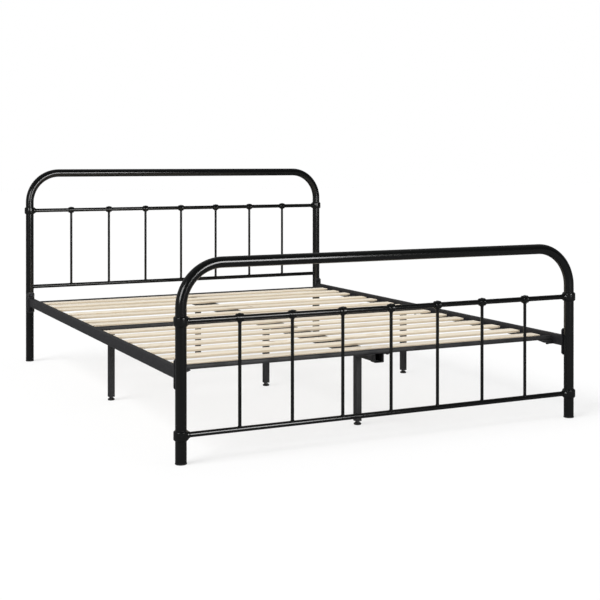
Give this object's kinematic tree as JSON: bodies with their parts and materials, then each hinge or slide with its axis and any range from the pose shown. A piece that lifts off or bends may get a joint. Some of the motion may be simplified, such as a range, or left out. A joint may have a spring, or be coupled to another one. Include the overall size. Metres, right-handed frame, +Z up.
{
  "type": "metal bed frame",
  "caption": "Tubular steel bed frame with arched head and foot boards, round spindles, wooden slats and a centre beam on levelling legs.",
  "frame": {"origin": "on the floor under the middle of the bed", "axes": "+X across the bed, towards the right of someone who stands at the foot and looks at the head; +Y from the foot to the head; +Z up"},
  "size_m": [1.4646, 1.9886, 0.8495],
  "materials": {
    "board_tube": "satin black powder coat on bent round steel tube",
    "castings": "satin black powder coat on cast joints",
    "frame_steel": "matt black powder coat with a fine texture on square tube and folded plate",
    "bolt_steel": "blackened steel",
    "slat_wood": "bare planed softwood, pale, unlacquered",
    "black_plastic": "moulded black plastic"
  },
  "bodies": {
    "bed_frame": {"head_hoop": "board_tube", "head_upper_rail": "board_tube", "head_lower_rail": "board_tube", "head_spindle_1": "board_tube", "head_spindle_2": "board_tube", "head_spindle_3": "board_tube", "head_spindle_4": "board_tube", "head_spindle_5": "board_tube", "head_spindle_6": "board_tube", "head_spindle_7": "board_tube", "foot_hoop": "board_tube", "foot_upper_rail": "board_tube", "foot_lower_rail": "board_tube", "foot_spindle_1": "board_tube", "foot_spindle_2": "board_tube", "foot_spindle_3": "board_tube", "foot_spindle_4": "board_tube", "foot_spindle_5": "board_tube", "foot_spindle_6": "board_tube", "foot_spindle_7": "board_tube", "spindle_knuckles": "castings", "post_collars": "castings", "side_rail_left": "frame_steel", "side_rail_right": "frame_steel", "rail_end_plates": "frame_steel", "rail_bolts": "bolt_steel", "slat_ledges": "frame_steel", "foot_end_rail": "frame_steel", "mid_cross_rail": "frame_steel", "head_end_rail": "frame_steel", "corner_brackets": "frame_steel", "beam_cradles": "frame_steel", "bracket_bolts": "bolt_steel", "centre_beam_foot": "frame_steel", "centre_beam_head": "frame_steel", "slat_1": "slat_wood", "slat_2": "slat_wood", "slat_3": "slat_wood", "slat_4": "slat_wood", "slat_5": "slat_wood", "slat_6": "slat_wood", "slat_7": "slat_wood", "slat_8": "slat_wood", "slat_9": "slat_wood", "slat_10": "slat_wood", "slat_11": "slat_wood", "slat_12": "slat_wood", "slat_13": "slat_wood", "slat_14": "slat_wood", "mid_left_leg": "frame_steel", "mid_centre_leg": "frame_steel", "mid_right_leg": "frame_steel", "foot_centre_leg": "frame_steel", "head_centre_leg": "frame_steel", "tube_end_plugs": "black_plastic"},
    "mid_left_glide": {"mid_left_glide": "black_plastic"},
    "mid_centre_glide": {"mid_centre_glide": "black_plastic"},
    "mid_right_glide": {"mid_right_glide": "black_plastic"},
    "foot_centre_glide": {"foot_centre_glide": "black_plastic"},
    "head_centre_glide": {"head_centre_glide": "black_plastic"}
  },
  "joints": [
    {"name": "mid_left_glide_height", "type": "slide", "parent": "bed_frame", "child": "mid_left_glide", "axis": [0, 0, -1], "range_m": [-0.003, 0.012]},
    {"name": "mid_centre_glide_height", "type": "slide", "parent": "bed_frame", "child": "mid_centre_glide", "axis": [0, 0, -1], "range_m": [-0.003, 0.012]},
    {"name": "mid_right_glide_height", "type": "slide", "parent": "bed_frame", "child": "mid_right_glide", "axis": [0, 0, -1], "range_m": [-0.003, 0.012]},
    {"name": "foot_centre_glide_height", "type": "slide", "parent": "bed_frame", "child": "foot_centre_glide", "axis": [0, 0, -1], "range_m": [-0.003, 0.012]},
    {"name": "head_centre_glide_height", "type": "slide", "parent": "bed_frame", "child": "head_centre_glide", "axis": [0, 0, -1], "range_m": [-0.003, 0.012]}
  ]
}
